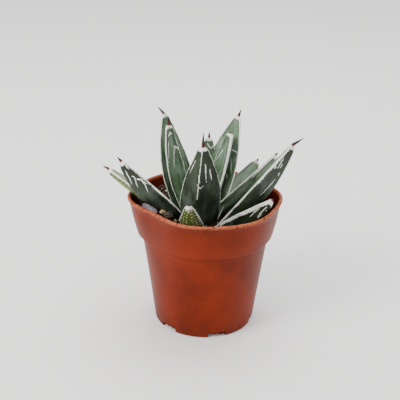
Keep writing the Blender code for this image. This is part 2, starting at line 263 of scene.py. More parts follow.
def softNoise(x, y, z):
    # value noise from -1 to 1: random numbers on a unit lattice, blended with smooth steps between its points
    def corner(i, j, k):
        h = np.sin(i * 127.1 + j * 311.7 + k * 74.7) * 43758.5453
        return (h - np.floor(h)) * 2 - 1
    i, j, k = np.floor(x), np.floor(y), np.floor(z)
    u, v, w = x - i, y - j, z - k
    u, v, w = u * u * (3 - 2 * u), v * v * (3 - 2 * v), w * w * (3 - 2 * w)
    total = 0
    for a in (0, 1):
        for b in (0, 1):
            for c in (0, 1):
                weight = (u if a else 1 - u) * (v if b else 1 - v) * (w if c else 1 - w)
                total = total + weight * corner(i + a, j + b, k + c)
    return total


def finePiece(piece, slot, *nodes):
    # every piece rides on the one body, and stands for the nodes named
    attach(piece, "root")
    if nodes:
        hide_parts(*nodes)


def chalkFinish(name, dull, bright):
    # cloudy, dry and slightly pitted
    f = Finish(name, 0.62)
    where = f.place()
    colour = f.mix(f.noise(where, 0.9, 4.0, 0.6).step(0.3, 0.65), linear(dull), linear(bright))
    return f.finish(colour, 0.55 + 0.2 * f.noise(where, 2.0), f.noise(where, 3.0), 0.3, 0.0002)


makeRoom(room)
print("camera, floor and light set")

# pot
pot = {
    "rim": 42.45, "height": 75.8, "foot": 29.0, "wallTop": 35.8, "wallTopHeight": 54.4,
    "collarFoot": 38.4, "collarFootHeight": 55.3, "collarRise": 17.8, "wall": 1.1, "floor": 1.4, "lip": 1.0,
    "around": 240, "fade": 3,
    "squeeze": ((2, 1.04, -46.0), (3, 0.74, 52.0), (4, 1.05, -2.0), (6, 0.85, 10.0)),
    "slots": 6, "slotWidth": 10.5, "slotHeight": 3.0, "slotDepth": 12, "slotFirst": -74.0, "tabStart": 3.6,
    "tabHeight": 1.1, "tabThick": 0.35, "tabLeast": 0.3, "tabMost": 3.0,
    # edge: colour of the painted highlight along the lip
    # the last colour is the one the pot darkens to towards its foot
    "light": "732208", "deep": "561805", "edge": "b0603f", "dust": "9c5c3e", "footDark": "331710",
}


def squeezed(radius, angle, height, v):
    # radius plus a few waves round the rim, which fade with the cube of the height down the wall
    share = np.clip(height / v["height"], 0, None) ** v["fade"]
    waves = sum(depth * np.cos(n * (angle - math.radians(turn))) for n, depth, turn in v["squeeze"])
    return radius + waves * share


def potProfile(v):
    # radius and height: foot, wall, crisp step, collar and lip on the outside, then down inside to the floor
    foot, top, step, collar = (v[k] for k in ("foot", "wallTop", "wallTopHeight", "collarFoot"))
    lipMiddle = v["rim"] - v["lip"]
    s, t = np.linspace(0, 1, 12)[:, None], np.linspace(0, 1, 10)[:, None]
    a = np.radians(np.linspace(-60, 150, 14))[:, None]
    wall = np.array([foot + 0.05, 1.6]) + s * np.array([top - foot - 0.15, step - 2.2])
    flare = np.array([collar, v["collarFootHeight"]]) + t * np.array([lipMiddle - collar, v["collarRise"]])
    flare = flare + np.concatenate([0.3 * np.sin(np.pi * t), 0 * t], 1)
    lip = np.concatenate([lipMiddle + v["lip"] * np.cos(a), v["height"] - 1.05 + 1.05 * np.sin(a)], 1)
    under = [(foot - 1.4, 0), (foot - 0.85, 0.06), (foot - 0.4, 0.3), (foot - 0.12, 0.75)]
    step = [(top, step - 0.1), (top + 0.15, step), (collar - 0.5, step + 0.1), (collar - 0.15, step + 0.35)]
    inside = np.concatenate([wall[1:], [(top - 0.1, wall[-1, 1] + 1.2), (collar - 0.2, wall[-1, 1] + 1.7)],
                             flare[1:]])[::-1] - np.array([v["wall"], 0])
    base = [(foot - v["wall"] - 0.2, v["floor"] + 0.9), (foot - v["wall"] - 1.6, v["floor"])]
    return np.concatenate([under, wall, step, flare, lip, inside, base])


def potFinish(v):
    f = Finish("terracottaPlastic", 0.42, Specular_IOR_Level=0.1)
    where = f.place()
    height = f.out("ShaderNodeSeparateXYZ", None, {0: where}, output=2)
    cloud = f.noise(where, 0.035, 4.0, 0.6)
    drag = f.noise(f.place((1, 1, 2.2)), 0.35, 4.0, 0.6)
    colour = f.mix((cloud * 0.85 + drag * 0.15).step(0.3, 0.7), linear(v["deep"]), linear(v["light"]))
    # painted highlight: a pale band along the top of the lip, broken up by noise
    lipHighlight = height.step(v["height"] - 2.2, v["height"] - 0.4) * f.noise(where, 0.4, 3.0).step(0.25, 0.6)
    colour = f.mix(lipHighlight * 0.75, colour, linear(v["edge"]))
    # scuffs and dust: thin scratches and small specks
    scratch = f.noise(f.place((1, 1, 3.2), (7, 3, 1)), 0.32, 6.0, 0.72).step(0.66, 0.74)
    specks = f.cells(where, 0.42).step(0.17, 0.05) * f.noise(where, 0.06, 2.0).step(0.5, 0.68)
    colour = f.mix(scratch * 0.34, colour, linear(v["dust"]))
    colour = f.mix(specks * 0.5, colour, linear(v["dust"]))
    # darker towards the foot of the pot, in noisy patches
    footDark = (1 - height.step(1, 16)) * f.noise(where, 0.16, 5.0, 0.7).step(0.42, 0.7)
    colour = f.mix(footDark * 0.45, colour, linear(v["footDark"]))
    rough = 0.34 + 0.16 * cloud + 0.22 * scratch + 0.15 * footDark
    grain = f.noise(where, 1.6, 2.0) * 0.35 + f.noise(f.place((0.1, 0.1, 2.4)), 0.8, 2.0) * 0.35 + drag * 0.3
    return f.finish(colour, rough, grain + scratch * 0.3, 0.16, 0.0004)


def makePot(v):
    # the profile spun round the axis, each point's radius squeezed by its angle and height
    profile = potProfile(v)
    angle = np.linspace(0, 2 * np.pi, v["around"], endpoint=False)
    radius = squeezed(profile[:, :1], angle[None], profile[:, 1:], v)
    rings = np.stack([radius * np.cos(angle), radius * np.sin(angle),
                      profile[:, 1:] + 0 * angle[None]], -1) * mm
    points, faces = ringsToSolid(rings)
    piece = meshPiece("potBody", points, faces, potFinish(v))
    # drain slots through the foot's corner
    for i in range(v["slots"]):
        turn = math.radians(v["slotFirst"] + 360 * i / v["slots"])
        bpy.ops.mesh.primitive_cube_add(size=1)
        cutter = bpy.context.object
        cutter.scale = (v["slotDepth"] * mm, v["slotWidth"] * mm, 2 * v["slotHeight"] * mm)
        cutter.location = (v["foot"] * math.cos(turn) * mm, v["foot"] * math.sin(turn) * mm, 0)
        cutter.rotation_euler = (0, 0, turn)
        cut = piece.modifiers.new("slot", "BOOLEAN")
        cut.operation, cut.solver, cut.object = "DIFFERENCE", "EXACT", cutter
        bpy.context.view_layer.objects.active = piece
        bpy.ops.object.modifier_apply(modifier=cut.name)
        bpy.data.objects.remove(cutter)
    piece.data.polygons.foreach_set("use_smooth", np.ones(len(piece.data.polygons), bool))
    piece.data.set_sharp_from_angle(angle=math.radians(40))
    finePiece(piece, "terracotta_plastic", "pot")
    return piece.data.materials[0]


def makeFlash(v, finish):
    # torn tabs of plastic left in each slot: rows from the floor outwards, their ends at a ragged noise line
    parts = []
    for i in range(v["slots"]):
        turn = math.radians(v["slotFirst"] + 360 * i / v["slots"])
        across = np.linspace(-v["slotWidth"] / 2, v["slotWidth"] / 2, 40)
        tear = 1.4 + 1.3 * softNoise(across * 1.3, 0 * across + i * 5, 0 * across) \
            + 0.5 * softNoise(across * 4, 0 * across + i, 0 * across + 2)
        a = np.linspace(0, 2 * np.pi, 8, endpoint=False)[None]
        tear = np.clip(tear, v["tabLeast"], v["tabMost"])[:, None]
        out = v["foot"] - v["tabStart"] + tear * (0.5 + 0.5 * np.cos(a))
        up = v["tabHeight"] - v["tabThick"] * np.sin(a) + 0 * out
        x = out * math.cos(turn) - across[:, None] * math.sin(turn)
        y = out * math.sin(turn) + across[:, None] * math.cos(turn)
        parts.append(ringsToSolid(np.stack([x, y, up], -1) * mm))
    points, faces = joined(parts)
    finePiece(meshPiece("slotFlash", points, faces, finish), "terracotta_plastic")


makeFlash(pot, makePot(pot))
print("pot turned")

# soil and what lies on it
soil = {
    "level": 62.8, "heap": 7.5, "heapFrom": -6.0, "heapTo": -26.0, "lump": 1.3, "crumb": 0.9, "grain": 0.28,
    "edgeOut": 0.6, "clear": 0.75, "wallSlope": 0.171, "edgeDrop": 1.1, "rings": 110, "around": 260,
    "bed": ((26.0, 2.0), (30.6, 26.0), (33.8, 53.0), (34.4, 56.4), (36.6, 57.4)), "crumbs": 620, "seed": 4,
    "dark": "1d130d", "brown": "3a2618", "fibre": "5b402a", "grit": "6d5c4b", "pumice": "b7a58f",
    "paleGrit": "d8ccba",
}


def soilHeight(x, y, v):
    # level, heaped up to the left in a smooth step, plus wide lumps, crumbs and fine grains of noise
    s = np.clip((x - v["heapFrom"]) / (v["heapTo"] - v["heapFrom"]), 0, 1)
    return (v["level"] + v["heap"] * s * s * (3 - 2 * s)
            + v["lump"] * softNoise(x * 0.16, y * 0.16, 0 * x + 3.1)
            + v["crumb"] * softNoise(x * 0.5, y * 0.5, 0 * x + 9.7)
            + v["grain"] * softNoise(x * 1.9, y * 1.9, 0 * x + 5.2))


def soilFinish(v):
    f = Finish("pottingMix", 0.95, Specular_IOR_Level=0.25)
    where = f.place()
    kind = f.read("kind")
    peat = f.ramp(f.noise(where, 0.9, 5.0, 0.7), [(0.3, linear(v["dark"])), (0.62, linear(v["brown"])),
                                                  (0.8, linear(v["fibre"]))])
    stone = f.ramp(f.noise(where, 1.4, 4.0, 0.65), [(0.25, linear(v["grit"])), (0.6, linear(v["pumice"])),
                                                    (0.8, linear(v["paleGrit"]))])
    colour = f.mix(kind.step(0.45, 0.55), peat, stone)
    rough = f.noise(where, 2.5, 4.0, 0.7) + f.cells(where, 1.6) * 0.5
    return f.finish(colour, 0.93 + 0.05 * f.noise(where, 3.0), rough, 0.8, 0.0005)


def unitBall(rows, around):
    # rings from the lower to the upper pole of a ball of radius one
    a = np.linspace(0, np.pi, rows + 2)[1:-1, None]
    b = np.linspace(0, 2 * np.pi, around, endpoint=False)[None]
    rings = np.stack([np.sin(a) * np.cos(b), np.sin(a) * np.sin(b), -np.cos(a) + 0 * b], -1)
    points, faces = ringsToSolid(rings)
    points[-2:] = ((0, 0, -1), (0, 0, 1))
    return points, faces


def makeSoil(v):
    # top: rings from the wall to the middle at the noise height; below: down the wall to the pot's floor
    angle = np.linspace(0, 2 * np.pi, v["around"], endpoint=False)
    wallRadius = pot["collarFoot"] - pot["wall"] + v["edgeOut"]
    share = np.linspace(1, 0.01, v["rings"])[:, None]
    edgeHeight = soilHeight(wallRadius * np.cos(angle), wallRadius * np.sin(angle), v) - v["edgeDrop"]
    edge = wallRadius - v["clear"] + v["wallSlope"] * (edgeHeight - pot["collarFootHeight"])
    edge = squeezed(edge, angle, edgeHeight, pot)[None]
    x, y = edge * share * np.cos(angle), edge * share * np.sin(angle)
    z = soilHeight(x, y, v) - v["edgeDrop"] * np.clip((share - 0.9) / 0.1, 0, 1)
    top = np.stack([x, y, z], -1)
    down = []
    for radius, height in v["bed"]:
        r = squeezed(radius, angle, height, pot)
        down.append(np.stack([r * np.cos(angle), r * np.sin(angle), 0 * angle + height], -1))
    points, faces = ringsToSolid(np.concatenate([np.stack(down), top]) * mm)
    kinds = np.zeros(len(points))
    # loose crumbs and pumice bits over the top
    rng = np.random.default_rng(v["seed"])
    n = v["crumbs"]
    ball, ballFaces = unitBall(5, 8)
    turn, far = rng.uniform(0, 2 * np.pi, n), np.sqrt(rng.uniform(0.01, 0.92, n))
    cx, cy = far * wallRadius * np.cos(turn), far * wallRadius * np.sin(turn)
    kind = (rng.uniform(size=n) < 0.2).astype(float)
    size = rng.uniform(0.35, 0.95, n) + 0.3 * kind * rng.uniform(size=n) + 0.6 * (rng.uniform(size=n) < 0.06)
    stretch = rng.uniform(0.6, 1.25, (n, 3)) * size[:, None]
    bumps = 1 + 0.25 * softNoise(ball[None, :, 0] * 2 + np.arange(n)[:, None] * 7.7, ball[None, :, 1] * 2,
                                 ball[None, :, 2] * 2)
    local = ball[None] * stretch[:, None] * bumps[..., None]
    spin = rng.uniform(0, 2 * np.pi, n)[:, None]
    gx = local[..., 0] * np.cos(spin) - local[..., 1] * np.sin(spin) + cx[:, None]
    gy = local[..., 0] * np.sin(spin) + local[..., 1] * np.cos(spin) + cy[:, None]
    gz = local[..., 2] + (soilHeight(cx, cy, v) + 0.15 * size)[:, None]
    crumbs = np.stack([gx, gy, gz], -1) * mm
    points, faces = joined([(points, faces)] + [(crumb, ballFaces) for crumb in crumbs])
    piece = meshPiece("soilMix", points, faces, soilFinish(v),
                      values={"kind": np.concatenate([kinds, np.repeat(kind, len(ball))])})
    finePiece(piece, "soil", "soil")


makeSoil(soil)
print("soil laid")

# stones and a straw chip on the soil: place, turn, length, width, height, sunk share
scraps = {
    "grey_stone": {"place": (-31.4, -8.6), "turn": -50, "size": (13.5, 4.6, 4.0), "sunk": 0.25,
                   "slot": "stone", "dull": "5f5b63", "bright": "8d8890", "lumps": 0.12},
    "dark_pebble": {"place": (-20.4, -17.6), "turn": 20, "size": (5.0, 4.4, 3.6), "sunk": 0.0,
                    "slot": "stone", "dull": "2c2622", "bright": "4f463c", "lumps": 0.25},
    "straw_chip": {"place": (-23.6, -13.9), "turn": 62, "size": (5.2, 2.6, 2.4), "sunk": 0.0,
                   "slot": "straw", "dull": "a8824e", "bright": "dcbc88", "lumps": 0.3},
}


def makeScrap(name, v, k):
    # a slightly squared ball drawn out to its size and pushed in and out by noise
    ball, faces = unitBall(26, 40)
    lump = 1 + v["lumps"] * softNoise(*(ball.T * 1.7 + k * 9))
    lump = lump + 0.4 * v["lumps"] * softNoise(*(ball.T * 5 + k * 5))
    size = np.array(v["size"]) / 2
    shape = np.sign(ball) * np.abs(ball) ** 0.85 * lump[:, None] * size
    turn = math.radians(v["turn"])
    x0, y0 = (np.array([c]) for c in v["place"])
    x = shape[:, 0] * math.cos(turn) - shape[:, 1] * math.sin(turn) + x0
    y = shape[:, 0] * math.sin(turn) + shape[:, 1] * math.cos(turn) + y0
    z = shape[:, 2] + soilHeight(x0, y0, soil) + size[2] * (1 - 2 * v["sunk"])
    piece = meshPiece(name + "_fine", np.stack([x, y, z], 1) * mm, faces,
                      chalkFinish(name + "Skin", v["dull"], v["bright"]))
    finePiece(piece, v["slot"], name)


for order, (name, values) in enumerate(scraps.items()):
    makeScrap(name, values, order)
print("scraps laid")

# stem
stem = {"foot": 40.0, "footRadius": 8.2, "top": 72.0, "topRadius": 4.6, "dull": "5d5a34", "bright": "a3a070"}


def stemRadius(height, v):
    # thins with the cube of the share of its height
    t = np.clip((height - v["foot"]) / (v["top"] - v["foot"]), 0, 1)
    return v["footRadius"] + (v["topRadius"] - v["footRadius"]) * t ** 3


def stemFinish(v):
    f = Finish("stemSkin", 0.75)
    where = f.place()
    colour = f.ramp(f.noise(where, 0.5, 4.0), [(0.3, linear(v["dull"])), (0.7, linear(v["bright"]))])
    return f.finish(colour, None, f.noise(where, 1.5, 3.0), 0.4)


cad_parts["stem"].data.materials[0] = stemFinish(stem)
print("stem skinned")

# leaves
# azimuth: the way a leaf points; reach, height: where its blade ends; foot: how high on the stem it starts
# bend: degrees it turns up; half: half its width; keel: depth of its back; channel: rise of its edges
# roll: turn about its length; offset: place of the keel across; spine, tilt: its length and lean
# tip: half the width of its blunt end; waist: share of the width kept at the stem
# margins: widths of its two white edges; swell: where they widen; wave: how far the edges wander
# keelLine: length of the white line down its back; skin: which finish. usual holds what a leaf doesn't name
leaves = {
    "leaf_01": {"azimuth": -102, "reach": 23.0, "height": 78.8, "foot": 56.8, "bend": 54, "half": 6.7,
                "keel": 3.0, "channel": 0.8, "roll": 9, "spine": 1.4, "skin": "young",
                "margins": (0.2, 0.35)},
    "leaf_02": {"azimuth": 112, "reach": 32.0, "height": 80.0, "foot": 57.0, "bend": 15, "half": 9.0,
                "keel": 4.5, "channel": 1.6, "spine": 4.0, "tilt": 5},
    "leaf_03": {"azimuth": 178, "reach": 50.3, "height": 89.6, "foot": 59.8, "bend": 2, "half": 10.2,
                "keel": 3.2, "channel": 1.8, "roll": 10, "spine": 4.5, "tilt": 8, "skin": "young",
                "margins": (0.35, 0.7)},
    "leaf_04": {"azimuth": -24, "reach": 43.8, "height": 81.2, "foot": 51.5, "bend": -4, "half": 9.7,
                "keel": 8.0, "channel": 1.4, "roll": -19, "spine": 1.8, "skin": "dark",
                "margins": (0.95, 0.25), "wave": 0.8},
    "leaf_05": {"azimuth": 34, "reach": 40.6, "height": 88.8, "foot": 57.0, "bend": 30, "half": 9.8,
                "keel": 5.0, "channel": 1.6, "roll": 20, "spine": 2.2, "skin": "pale"},
    "leaf_06": {"azimuth": -153, "reach": 45.8, "height": 102.9, "foot": 60.0, "bend": -7, "half": 9.8,
                "keel": 8.3, "channel": 1.6, "roll": 2, "spine": 4.0, "tilt": -6, "waist": 0.2,
                "skin": "dark", "margins": (0.2, 0.2), "swell": 19},
    "leaf_07": {"azimuth": -18.8, "reach": 51.9, "height": 112.5, "foot": 52.8, "half": 10.8, "keel": 8.1,
                "channel": 1.6, "roll": 2, "spine": 8.5, "tilt": 16, "skin": "dark",
                "margins": (0.45, 0.25)},
    "leaf_08": {"azimuth": 76, "reach": 22.0, "height": 102.8, "foot": 60.0, "bend": 20, "half": 7.0,
                "keel": 4.6, "channel": 1.6, "roll": 12, "spine": 4.0, "margins": (0.35, 0.35)},
    "leaf_09": {"azimuth": 8, "reach": 43.0, "height": 98.6, "foot": 64.0, "bend": 3, "half": 8.5,
                "keel": 5.0, "channel": 1.6, "roll": -22, "spine": 2.5, "skin": "pale",
                "margins": (0.35, 0.4)},
    "leaf_10": {"azimuth": -84.5, "reach": 23.0, "height": 112.4, "foot": 58.5, "bend": 20, "half": 11.2,
                "keel": 5.4, "channel": 1.6, "roll": 3, "offset": -0.28, "spine": 9.0, "tilt": -4,
                "skin": "dark", "margins": (0.22, 0.18), "keelLine": 28},
    "leaf_11": {"azimuth": 141, "reach": 26.0, "height": 117.8, "foot": 62.0, "bend": 16, "half": 11.0,
                "keel": 5.8, "channel": 1.8, "roll": -4, "spine": 7.0, "tilt": 46,
                "margins": (0.35, 0.45)},
    "leaf_12": {"azimuth": 40, "reach": 28.2, "height": 116.9, "foot": 62.4, "half": 12.8, "keel": 5.6,
                "channel": 1.8, "spine": 5.0, "tilt": 6, "margins": (0.6, 0.55)},
    "leaf_13": {"azimuth": 160, "reach": 18.2, "height": 114.6, "foot": 66.4, "bend": 20, "half": 6.1,
                "keel": 4.0, "channel": 1.4, "roll": -26, "spine": 5.5, "margins": (0.45, 0.4)},
    "leaf_14": {"azimuth": 25, "reach": 18.8, "height": 110.0, "foot": 67.0, "bend": 2, "half": 7.8,
                "keel": 3.6, "channel": 1.4, "spine": 1.4, "tip": 3.0, "margins": (1.2, 0.45)},
}
usual = {"bend": 0, "roll": 0, "offset": 0.0, "tilt": 0, "tip": 2.1, "waist": 0.85, "margins": (0.4, 0.4),
         "wave": 0.18, "keelLine": 3, "skin": "plain"}
# widest, deepest: shares of the length from the tip where the blade gets its full width and keel
# groove: depth, place and width of the one inside each edge; spineFoot: how far the horn runs down the blade
blade = {"rings": 96, "tipRings": 30, "around": 72, "tipLength": 4, "tipKeel": 1.4, "spineRadius": 0.95,
         "edge": 0.9, "crown": (-4.5, 0.0), "gap": 0.3, "widest": 0.62, "deepest": 0.5, "bluntness": 0.8,
         "groove": (0.2, 1.9, 0.7), "spineShort": 0.3, "spineFoot": 2.2}


def leafShape(v, name):
    # rings of a hollowed, keeled section carried up an arc; the blade closes to a blunt tip with a cone on it
    seed = int(name[-2:])
    start = stemRadius(v["foot"], stem) + blade["gap"]
    run, rise = v["reach"] - start, v["height"] - v["foot"]
    turn, chord = math.radians(v["bend"]), math.atan2(rise, run)
    length = math.hypot(run, rise) * (turn / 2 / math.sin(turn / 2) if turn else 1.0)
    spine = v["spine"] - blade["spineShort"]
    tipStart = length - blade["tipLength"]
    along = np.concatenate([np.linspace(0, tipStart, blade["rings"], endpoint=False),
                            np.linspace(tipStart, length + spine, blade["tipRings"])])
    fine = np.linspace(0, length + spine, 1200)
    lean = np.clip((fine - length + 0.6) / 1.4, 0, 1)
    slope = chord - turn / 2 + turn * np.minimum(fine / length, 1) - math.radians(v["tilt"]) * lean
    step = fine[1] - fine[0]
    reach = start + np.concatenate([[0], np.cumsum(np.cos((slope[1:] + slope[:-1]) / 2)) * step])
    height = v["foot"] + np.concatenate([[0], np.cumsum(np.sin((slope[1:] + slope[:-1]) / 2)) * step])
    slope, reach, height = (np.interp(along, fine, a) for a in (slope, reach, height))

    share, toTip = np.minimum(along / length, 1), length - along
    inside = np.maximum(toTip, 0)
    blunt = np.sqrt(1 - np.exp(-inside / blade["bluntness"]))
    tip, waist = v["tip"], v["waist"]
    widening = np.sin(np.pi / 2 * np.minimum(1, inside / (blade["widest"] * length)))
    half = tip * blunt + (v["half"] - tip) * widening
    half = half * (waist + (1 - waist) * np.sin(np.pi / 2 * np.minimum(1, share / 0.3)))
    depth = v["keel"] - blade["tipKeel"]
    depth = blade["tipKeel"] + depth * np.sin(np.pi / 2 * np.minimum(1, inside / (blade["deepest"] * length)))
    depth = depth * blunt * (0.7 * waist + (1 - 0.7 * waist) * np.minimum(1, share / (0.65 - 0.3 * waist)))
    rise = v["channel"] * np.sin(np.pi / 2 * np.minimum(1, 0.12 + 0.88 * inside / length)) * blunt
    sharp = (1.9 - 0.7 * np.minimum(1, share / 0.5))[:, None]
    cone = blade["spineRadius"] * np.clip((along - length + blade["spineFoot"]) / 1.4, 0, 1) \
        * np.clip((length + spine - along) / (spine + 0.4), 0.02, 1) ** 0.8
    edge = np.maximum(blade["edge"] * blunt, cone)
    half = np.maximum(half, cone)

    t = np.linspace(0, 2 * np.pi, blade["around"], endpoint=False)[None]
    across, up = np.cos(t), np.sin(t)
    below = up < -1e-6
    x = half[:, None] * across
    # each edge wanders a little in and out, and a shallow groove runs just inside it
    zero = 0 * along
    ripples = [softNoise(along * 0.35, zero + seed + k, zero)
               + 0.5 * softNoise(along, zero + seed * 3 + k, zero) for k in (0.0, 40.0)]
    ripple = np.where(across > 0, ripples[0][:, None], ripples[1][:, None])
    ripple = ripple * (blunt * np.clip(toTip - 1, 0, 1))[:, None]
    x = x + np.sign(across) * np.abs(across) ** 8 * v["wave"] * ripple
    gapIn = (1 - np.abs(across)) * half[:, None]
    y = rise[:, None] * across ** 2 + edge[:, None] * up
    low, at, wide = blade["groove"]
    groove = low * np.exp(-((gapIn - at) / wide) ** 2) * (blunt * np.minimum(1, inside / 6))[:, None]
    y = y - np.sign(up) * groove
    y = y - np.where(below, depth[:, None] * (1 - np.abs(across) ** sharp), 0)
    x = x + np.where(below, v["offset"] * half[:, None] * (1 - across ** 2), 0)

    azimuth, roll = math.radians(v["azimuth"]), math.radians(v["roll"])
    outward = np.array([math.cos(azimuth), math.sin(azimuth), 0])
    side = np.array([-math.sin(azimuth), math.cos(azimuth), 0])
    upward = np.array([0, 0, 1.0])
    face = upward * np.cos(slope)[:, None] - outward * np.sin(slope)[:, None]
    level = side * math.cos(roll) + face * math.sin(roll)
    face = face * math.cos(roll) - side * math.sin(roll)
    centre = np.array([*blade["crown"], 0]) + outward * reach[:, None] + upward * height[:, None]
    rings = centre[:, None] + level[:, None] * x[..., None] + face[:, None] * y[..., None]
    flat = np.ones_like(t)
    left, right = v["margins"]
    broad = 1 + 0.35 * softNoise(along * 0.22, zero + seed * 7, zero)
    margin = np.where(across > 0, right, left) * broad[:, None]
    if "swell" in v:
        margin = margin * (1 + 1.4 * np.clip((toTip - v["swell"]) / 5, 0, 1))[:, None]
    values = {
        "marginWide": margin,
        "edgeGap": gapIn,
        "keelGap": np.where(below & (toTip[:, None] < v["keelLine"]), np.abs(across) * half[:, None], 60.0),
        "tipGap": toTip[:, None] * flat,
        "upSide": np.where(below, 0.0, 1.0) + 0 * x,
        "acrossAt": across * half[:, None],
        "alongAt": along[:, None] * flat + seed * 100,
    }
    return rings, values


# back, inner: colours of the two faces; bloomAt, greenAt: distances from the tip where those colours set in
skins = {
    "dark": {"back": "161f10", "backPale": "2e3b28", "inner": "36492f", "innerPale": "53664e",
             "green": "22361a", "bloom": "55645a", "greenAt": (30, 52), "bloomAt": (12, 26)},
    "plain": {"back": "2b3f25", "backPale": "465a40", "inner": "3d563a", "innerPale": "657a62",
              "green": "35561f", "bloom": "8a9c8c", "greenAt": (22, 44), "bloomAt": (2, 12)},
    "young": {"back": "4c5c26", "backPale": "76804a", "inner": "6c7f54", "innerPale": "8a9a72",
              "green": "4a6524", "bloom": "949c74", "greenAt": (12, 30), "bloomAt": (2, 12)},
    "pale": {"back": "5c7458", "backPale": "8a9c88", "inner": "6d8468", "innerPale": "93a592",
             "green": "48643c", "bloom": "a0ae9f", "greenAt": (26, 46), "bloomAt": (2, 12)},
}
horn = {"shade": "18240f", "chalk": ("b3a793", "dcddd4", "f2f3ee"), "ragged": 0.9, "edgeIn": 0.27,
        "spine": ("5a231c", "33120f", "1f110e", "54463f"), "spineLength": 8}


def leafFinish(name, v, h):
    f = Finish(name, 0.5, Specular_IOR_Level=0.28)
    edgeGap, marginWide, keelGap = f.read("edgeGap"), f.read("marginWide"), f.read("keelGap")
    tipGap, upSide, across, along = f.read("tipGap"), f.read("upSide"), f.read("acrossAt"), f.read("alongAt")
    where = f.together(across, along)
    grain = f.noise(f.together(across, along * 0.09), 1.3, 4.0, 0.6)
    cloud = f.noise(f.together(across, along * 0.45), 0.16, 3.0, 0.55)
    inner = f.mix((cloud * 0.7 + grain * 0.3).step(0.36, 0.66), linear(v["inner"]), linear(v["innerPale"]))
    back = f.mix((cloud * 0.65 + grain * 0.35).step(0.4, 0.7), linear(v["back"]), linear(v["backPale"]))
    colour = f.mix(upSide.step(0.4, 0.6), back, inner)
    # greener and darker towards the foot, darker just inside the white edge, and a fine pale bloom in drifts
    colour = f.mix(tipGap.step(*v["greenAt"]) * 0.75 * cloud.step(0.2, 0.55), colour, linear(v["green"]))
    colour = f.mix((edgeGap - marginWide).step(2.4, 0.2) * 0.45, colour, linear(h["shade"]))
    drift = f.noise(f.together(across, along * 0.3, 5.0), 0.34, 4.0, 0.6).step(0.42, 0.7)
    colour = f.mix(drift * tipGap.step(*v["bloomAt"]) * 0.5, colour, linear(v["bloom"]))
    colour = f.mix(f.noise(where, 1.1, 5.0, 0.7).step(0.6, 0.75) * 0.2, colour, linear(v["bloom"]))
    # white horny edge, line down the keel and cap at the tip, each with a ragged border
    ragged = f.noise(where, 0.9, 3.0, 0.6)
    margin = (edgeGap + ragged * h["ragged"] - h["edgeIn"] - marginWide).step(0.25, 0.0)
    keel = (keelGap + ragged * 0.7).step(0.65, 0.4)
    cap = (tipGap + ragged * 1.8).step(2.9, 2.2)
    chalk = f.ramp(f.noise(where, 0.7, 4.0, 0.65), list(zip((0.25, 0.45, 0.8), map(linear, h["chalk"]))))
    white = margin.most(keel).most(cap)
    colour = f.mix(white, colour, chalk)
    # spine: red-brown at its foot, nearly black along it, grey at its point
    spineAt = tipGap.step(0.3, -0.3)
    spine = f.ramp((0 - tipGap) / h["spineLength"], list(zip((0.0, 0.2, 0.75, 1.0), map(linear, h["spine"]))))
    colour = f.mix(spineAt, colour, spine)
    rough = 0.44 + 0.14 * cloud + 0.22 * white - 0.12 * spineAt
    relief = grain * 0.5 + f.noise(where, 2.2, 3.0, 0.6) * 0.3 + white * 0.5
    return f.finish(colour, rough, relief, 0.22, 0.0004)


def makeLeaves(table):
    # one closed solid a leaf; the imprints and warts need the rings and their distances from the tip
    finishes = {key: leafFinish("leafSkin" + key.capitalize(), v, horn) for key, v in skins.items()}
    shapes = {}
    for name, v in table.items():
        v = {**usual, **v}
        rings, values = leafShape(v, name)
        points, faces = ringsToSolid(rings * mm)
        ends = {key: np.concatenate([a.ravel(), [a[0].mean(), a[-1].mean()]]) for key, a in values.items()}
        piece = meshPiece(name + "_blade", points, faces, finishes[v["skin"]], values=ends)
        finePiece(piece, "leaf", name)
        shapes[name] = (rings, values["tipGap"][:, 0])
    return shapes


leafRings = makeLeaves(leaves)
print("leaves grown:", len(leafRings))

